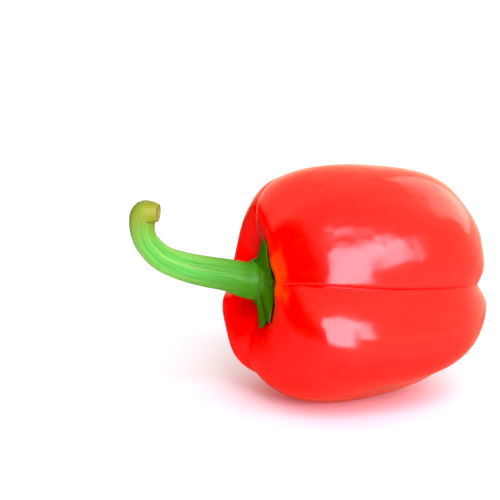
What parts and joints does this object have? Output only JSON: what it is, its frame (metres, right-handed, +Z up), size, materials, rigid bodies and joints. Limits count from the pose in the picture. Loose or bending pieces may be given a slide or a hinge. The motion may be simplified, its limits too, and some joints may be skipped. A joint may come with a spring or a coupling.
{
  "type": "bell pepper",
  "caption": "Blocky lobed bell pepper lying on its side, with a toothed green calyx in the hollow of its shoulders and a long ribbed stem that hooks upwards to a cut end.",
  "frame": {"origin": "on the surface the pepper lies on, under the centre of its bounding box", "axes": "+Z up; X along the fruit's core, with the stem towards -X and the blossom end towards +X; -Y is the side seen in the picture"},
  "size_m": [0.1322, 0.0944, 0.0843],
  "materials": {
    "red_skin": "smooth waxy skin with a soft gloss",
    "green_stem": "satin, fibrous along its length"
  },
  "bodies": {
    "root": {"fruit": "red_skin", "calyx_and_stem": "green_stem"}
  },
  "joints": []
}
